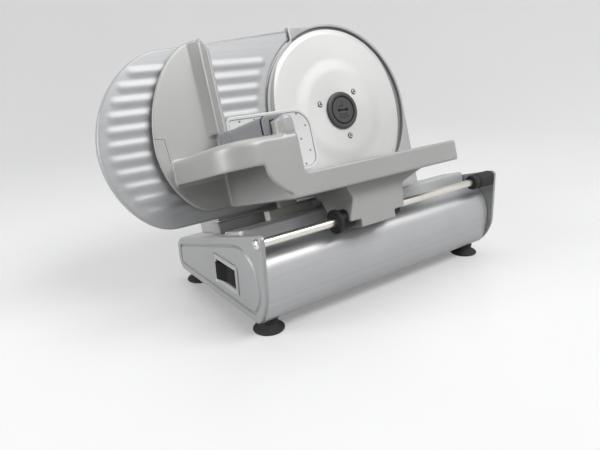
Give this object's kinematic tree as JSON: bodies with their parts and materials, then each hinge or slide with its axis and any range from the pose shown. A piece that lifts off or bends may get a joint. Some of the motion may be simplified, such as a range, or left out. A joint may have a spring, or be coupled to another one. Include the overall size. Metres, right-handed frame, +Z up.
{
  "type": "food slicer",
  "caption": "Electric food slicer: disc blade leaning back in its housing, carriage on a guide rod, ribbed thickness plate, food pusher and rocker switch on a base with suction feet.",
  "frame": {"origin": "bottom centre of the whole slicer's box, on the surface that its feet stand on", "axes": "+X right along the guide rod as the user sees it, +Y away from the user, +Z up"},
  "size_m": [0.406, 0.2326, 0.2735],
  "materials": {
    "cast_aluminium": "satin silver paint on cast metal",
    "brushed_steel": "brushed along its length",
    "polished_steel": "polished",
    "black_plastic": "fine grain",
    "rubber": "matte",
    "grey_plastic": "fine grain",
    "nylon": "natural",
    "clear_plastic": "clear",
    "smoky_plastic": "clear, slightly smoky blue"
  },
  "bodies": {
    "base": {"left_end_plate": "cast_aluminium", "right_end_plate": "cast_aluminium", "deck": "cast_aluminium", "plinth": "cast_aluminium", "blade_housing": "cast_aluminium", "slide_housing": "cast_aluminium", "front_shell": "brushed_steel", "back_wall": "brushed_steel", "motor_can": "brushed_steel", "guide_rod": "polished_steel", "rod_screw_left": "polished_steel", "rod_screw_right": "polished_steel", "plinth_screw": "polished_steel", "rear_rail": "polished_steel", "foot_screw_front_left": "polished_steel", "foot_screw_front_right": "polished_steel", "foot_screw_back_left": "polished_steel", "foot_screw_back_right": "polished_steel", "switch_frame": "black_plastic", "switch_body": "black_plastic", "cord_gland": "black_plastic", "motor_cap": "black_plastic", "foot_front_left": "rubber", "foot_front_right": "rubber", "foot_back_left": "rubber", "foot_back_right": "rubber", "buffer_sleeve": "rubber", "bottom_cover": "grey_plastic", "rear_cover": "grey_plastic"},
    "blade": {"blade": "polished_steel", "blade_hub": "polished_steel", "worm_wheel": "nylon", "blade_screw_1": "polished_steel", "blade_screw_2": "polished_steel", "blade_screw_3": "polished_steel"},
    "lock_nut": {"lock_nut": "black_plastic"},
    "rotor": {"motor_worm": "polished_steel"},
    "thickness": {"thickness_plate": "cast_aluminium", "thickness_carrier": "cast_aluminium"},
    "knob": {"thickness_knob": "black_plastic", "cam_drum": "nylon"},
    "carriage": {"carriage_body": "cast_aluminium", "carriage_bracket": "cast_aluminium", "bush_left": "black_plastic", "bush_right": "black_plastic", "buffer_ring": "rubber", "rear_shoe": "nylon"},
    "pusher": {"pusher_plate": "clear_plastic", "pusher_body": "smoky_plastic"},
    "rocker": {"switch_rocker": "black_plastic"}
  },
  "joints": [
    {"name": "blade_spin", "type": "hinge", "parent": "base", "child": "blade", "pos_m": [0.07605, 0.02593, 0.17711], "axis": [0, -0.9613, 0.2756], "continuous": true},
    {"name": "rotor_spin", "type": "hinge", "parent": "base", "child": "rotor", "pos_m": [0.07605, 0.05106, 0.12689], "axis": [1, 0, 0], "continuous": true},
    {"name": "lock_nut_turn", "type": "hinge", "parent": "blade", "child": "lock_nut", "pos_m": [0.07605, 0.02593, 0.17711], "axis": [0, -0.9613, 0.2756], "range_deg": [0, 90]},
    {"name": "carriage_slide", "type": "slide", "parent": "base", "child": "carriage", "axis": [1, 0, 0], "range_m": [-0.07, 0.105]},
    {"name": "pusher_slide", "type": "slide", "parent": "carriage", "child": "pusher", "axis": [0, 0.9613, -0.2756], "range_m": [0, 0.011]},
    {"name": "thickness_slide", "type": "slide", "parent": "base", "child": "thickness", "axis": [0, 0.9613, -0.2756], "range_m": [0, 0.015]},
    {"name": "knob_turn", "type": "hinge", "parent": "base", "child": "knob", "pos_m": [-0.06495, 0.08574, 0.09546], "axis": [0, 0.9613, -0.2756], "range_deg": [0, 270]},
    {"name": "switch_rock", "type": "hinge", "parent": "base", "child": "rocker", "pos_m": [-0.11095, -0.02787, 0.04565], "axis": [0, 0, -1], "range_deg": [0, 14]}
  ],
  "couplings": [
    {"joint": "rotor_spin", "follows": "blade_spin", "ratio": 18},
    {"joint": "knob_turn", "follows": "thickness_slide", "rad_per_m": 314.16}
  ]
}
